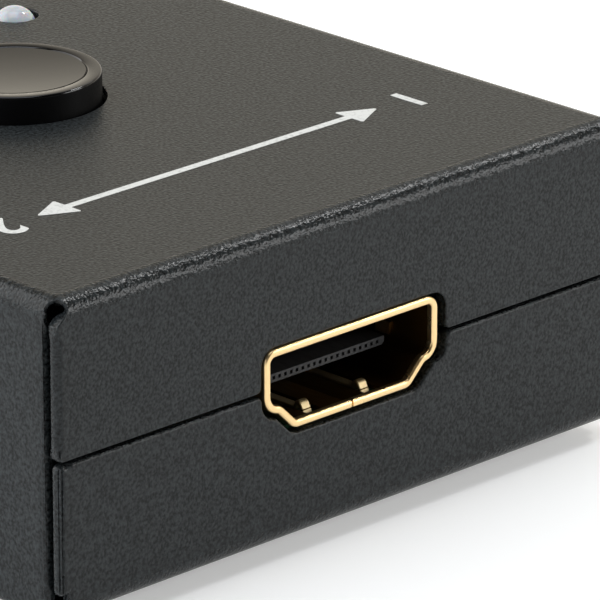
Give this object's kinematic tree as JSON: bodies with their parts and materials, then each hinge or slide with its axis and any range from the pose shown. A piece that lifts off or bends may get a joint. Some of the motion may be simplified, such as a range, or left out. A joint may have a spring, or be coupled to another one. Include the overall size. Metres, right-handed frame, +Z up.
{
  "type": "video switch box",
  "caption": "Small folded sheet steel box with gold plated video sockets in its ends and a round push button in its top that swaps the active source.",
  "frame": {"origin": "middle of the box that holds the part, on the plane that its feet rest on", "axes": "+Z up, +Y from the face with the single socket to the face with the pair, +X to the right of someone who looks at the single socket"},
  "size_m": [0.049, 0.0614, 0.0231],
  "materials": {
    "powder_coated_steel": "fine textured black powder coat",
    "foot_rubber": "matt moulded rubber",
    "black_zinc_screw": "black zinc plate",
    "standoff_brass": "turned",
    "screw_steel": "zinc plate",
    "board_laminate": "solder mask",
    "gold_plated_shell": "polished gold plate",
    "socket_resin": "moulded",
    "gold_contact": "gold plate",
    "gloss_black_plastic": "polished moulding",
    "spring_steel": "drawn wire",
    "switch_resin": "moulded",
    "nylon": "moulded",
    "tinned_lead": "tinned",
    "lamp_epoxy": "clear epoxy",
    "chip_resin": "moulded",
    "capacitor_ceramic": "fired ceramic",
    "resistor_ceramic": "glazed ceramic"
  },
  "bodies": {
    "housing": {"top_cover": "powder_coated_steel", "base_tray": "powder_coated_steel", "rubber_feet": "foot_rubber", "case_screws": "black_zinc_screw", "board_standoffs": "standoff_brass", "board_screws": "screw_steel", "circuit_board": "board_laminate", "front_socket_shell": "gold_plated_shell", "left_socket_shell": "gold_plated_shell", "right_socket_shell": "gold_plated_shell", "front_socket_insulator": "socket_resin", "left_socket_insulator": "socket_resin", "right_socket_insulator": "socket_resin", "front_socket_contacts": "gold_contact", "left_socket_contacts": "gold_contact", "right_socket_contacts": "gold_contact", "return_spring": "spring_steel", "switch_housing": "switch_resin", "switch_base": "nylon", "lamp_spacers": "nylon", "switch_pins": "tinned_lead", "lamp_leads": "tinned_lead", "chip_leads": "tinned_lead", "indicator_lamps": "lamp_epoxy", "switching_chip": "chip_resin", "surge_arrays": "chip_resin", "diodes": "chip_resin", "regulator": "chip_resin", "capacitors": "capacitor_ceramic", "resistors": "resistor_ceramic"},
    "button": {"button_cap": "gloss_black_plastic", "switch_plunger": "switch_resin"}
  },
  "joints": [
    {"name": "button_press", "type": "slide", "parent": "housing", "child": "button", "axis": [0, 0, -1], "range_m": [0, 0.0015], "stiffness_N_per_m": 900, "springref_m": -0.0008, "deforming": ["return_spring"]}
  ]
}
